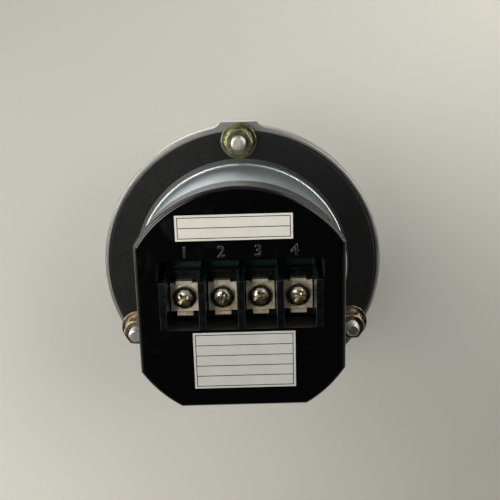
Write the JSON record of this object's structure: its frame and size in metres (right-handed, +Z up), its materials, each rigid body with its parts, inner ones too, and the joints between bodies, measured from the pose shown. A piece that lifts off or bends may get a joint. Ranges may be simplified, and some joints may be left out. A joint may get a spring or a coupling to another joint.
{
  "type": "pulse generator handwheel",
  "caption": "Panel-mount manual pulse generator: a dialled handwheel with spinner knob in a round flange, with a rear can, barrier terminals and studs.",
  "frame": {"origin": "centre of the panel seating plane, the rear face of the gasket, on the wheel's axis", "axes": "+Y along the wheel's axis from the wheel to the terminals; +Z up, through the middle stud; +X to the right as seen from the wheel's side"},
  "size_m": [0.08, 0.0736, 0.0811],
  "materials": {
    "die_cast": "satin bead-blasted die casting",
    "gasket_rubber": "matte moulded",
    "bright_zinc": "bright zinc plate",
    "yellow_zinc": "yellow chromated zinc plate",
    "cover_plastic": "glossy moulded",
    "label_film": "matte film",
    "block_plastic": "glass-filled moulding",
    "nickel_plate": "bright nickel plate",
    "solder_mask": "glossy solder mask",
    "tinned_pin": "tin plate",
    "chip_plastic": "moulded epoxy",
    "capacitor_can": "brushed",
    "head_plastic": "moulded",
    "clear_lens": "clear",
    "sensor_plastic": "dark filter plastic",
    "bearing_steel": "ground",
    "spring_steel": "oiled",
    "magnet_ferrite": "sintered",
    "iron_teeth": "machined",
    "cage_brass": "pressed",
    "shaft_steel": "turned",
    "hub_brass": "turned",
    "disc_steel": "etched",
    "wheel_plastic": "fine-textured moulding",
    "dial_aluminium": "satin anodised",
    "knob_plastic": "polished moulding"
  },
  "bodies": {
    "housing": {"flange_body": "die_cast", "panel_gasket": "gasket_rubber", "mounting_studs": "bright_zinc", "flat_washers": "yellow_zinc", "spring_washers": "yellow_zinc", "hex_nuts": "yellow_zinc", "rear_cover": "cover_plastic", "upper_label": "label_film", "lower_label": "label_film", "terminal_block": "block_plastic", "terminal_clamps": "nickel_plate", "terminal_screws": "nickel_plate", "terminal_pins": "tinned_pin", "circuit_board": "solder_mask", "board_screws": "bright_zinc", "board_chips": "chip_plastic", "board_capacitors": "capacitor_can", "optical_head": "head_plastic", "led_emitter": "clear_lens", "photo_sensor": "sensor_plastic", "index_mask": "disc_steel", "bearing_outer_rings": "bearing_steel", "wave_washer": "spring_steel", "bore_retaining_ring": "spring_steel", "detent_magnet": "magnet_ferrite", "detent_pole_ring": "iron_teeth"},
    "ball_set": {"bearing_balls": "bearing_steel", "bearing_cages": "cage_brass"},
    "wheel": {"shaft": "shaft_steel", "bearing_inner_rings": "bearing_steel", "bearing_spacer": "shaft_steel", "shaft_retaining_ring": "spring_steel", "detent_rotor": "iron_teeth", "disc_hub": "hub_brass", "encoder_disc": "disc_steel", "handwheel": "wheel_plastic", "dial_ring": "dial_aluminium", "wheel_washer": "bright_zinc", "wheel_nut": "bright_zinc", "centre_cap": "dial_aluminium", "spinner_pin": "shaft_steel", "spinner_washer": "bright_zinc"},
    "spinner": {"spinner_knob": "knob_plastic"}
  },
  "joints": [
    {"name": "wheel_spin", "type": "hinge", "parent": "housing", "child": "wheel", "pos_m": [0, 0, 0], "axis": [0, 1, 0], "continuous": true},
    {"name": "ball_set_spin", "type": "hinge", "parent": "housing", "child": "ball_set", "pos_m": [0, 0, 0], "axis": [0, 1, 0], "continuous": true},
    {"name": "spinner_spin", "type": "hinge", "parent": "wheel", "child": "spinner", "pos_m": [0, 0, 0.016], "axis": [0, 1, 0], "continuous": true}
  ],
  "couplings": [
    {"joint": "ball_set_spin", "follows": "wheel_spin", "ratio": 0.4042}
  ]
}
